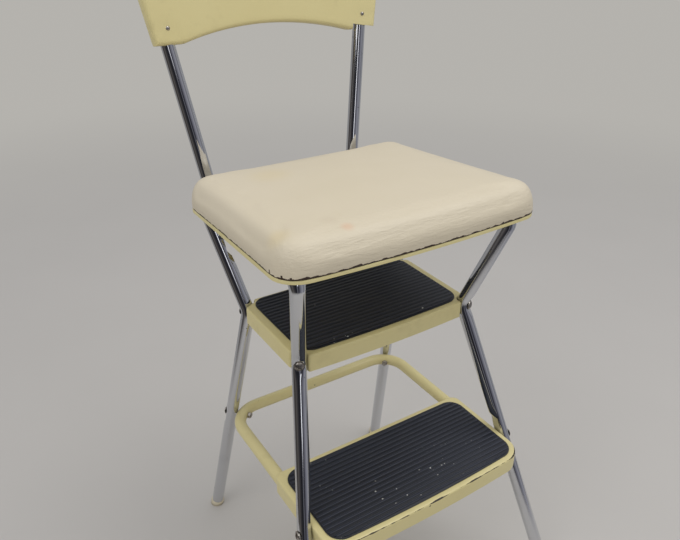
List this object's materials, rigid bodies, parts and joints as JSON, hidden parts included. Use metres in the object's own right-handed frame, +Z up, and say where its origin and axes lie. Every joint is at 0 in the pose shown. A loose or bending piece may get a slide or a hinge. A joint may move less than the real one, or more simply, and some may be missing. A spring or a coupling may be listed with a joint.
{
  "type": "step stool chair",
  "caption": "Chromed tube kitchen chair with a flip-up padded seat, ribbed steps below it and a painted steel backrest.",
  "frame": {"origin": "on the floor, under the middle of the chair's box with the seat down", "axes": "+Z up; the chair faces -Y; +X to the right of someone who looks at its front"},
  "size_m": [0.456, 0.5138, 0.9045],
  "materials": {
    "chrome": "polished chrome plating on steel tube, lightly worn",
    "hardware": "zinc plated, dulled",
    "yellow_paint": "semi-gloss butter-yellow enamel, worn at the edges",
    "cream_vinyl": "satin cream vinyl, lightly creased",
    "black_rubber": "matt, ribbed",
    "cream_plastic": "satin, scuffed",
    "plywood": "bare plywood"
  },
  "bodies": {
    "frame": {"side_tube_right": "chrome", "side_tube_left": "chrome", "rear_leg_right": "chrome", "rear_leg_left": "chrome", "foot_glide_front_right": "cream_plastic", "foot_glide_front_left": "cream_plastic", "foot_glide_rear_right": "cream_plastic", "foot_glide_rear_left": "cream_plastic", "hinge_bracket_right": "hardware", "hinge_bracket_left": "hardware", "hinge_pin_right": "hardware", "hinge_pin_left": "hardware", "knee_screw_front_right": "hardware", "knee_screw_front_left": "hardware", "knee_screw_rear_right": "hardware", "knee_screw_rear_left": "hardware", "knee_nut_front_right": "hardware", "knee_nut_front_left": "hardware", "knee_nut_rear_right": "hardware", "knee_nut_rear_left": "hardware", "step_screw_right": "hardware", "step_screw_left": "hardware", "step_nut_right": "hardware", "step_nut_left": "hardware", "brace_screw_right": "hardware", "brace_screw_left": "hardware", "brace_nut_right": "hardware", "brace_nut_left": "hardware", "lap_screw_right": "hardware", "lap_screw_left": "hardware", "lap_nut_right": "hardware", "lap_nut_left": "hardware", "bracket_screw_right": "hardware", "bracket_screw_left": "hardware", "bracket_nut_right": "hardware", "bracket_nut_left": "hardware", "backrest_screw_lower_right": "hardware", "backrest_screw_lower_left": "hardware", "backrest_screw_upper_right": "hardware", "backrest_screw_upper_left": "hardware", "step_brace": "yellow_paint", "upper_step": "yellow_paint", "upper_step_mat": "black_rubber", "lower_step": "yellow_paint", "lower_step_mat": "black_rubber", "backrest_panel": "yellow_paint"},
    "seat": {"seat_pan": "yellow_paint", "seat_board": "plywood", "seat_cushion": "cream_vinyl", "seat_bumper_right": "black_rubber", "seat_bumper_left": "black_rubber", "board_screw_front_right": "hardware", "board_screw_front_left": "hardware", "board_screw_rear_right": "hardware", "board_screw_rear_left": "hardware"}
  },
  "joints": [
    {"name": "seat_flip", "type": "hinge", "parent": "frame", "child": "seat", "pos_m": [0, 0.13102, 0.5708], "axis": [-1, 0, 0], "range_deg": [0, 93]}
  ]
}
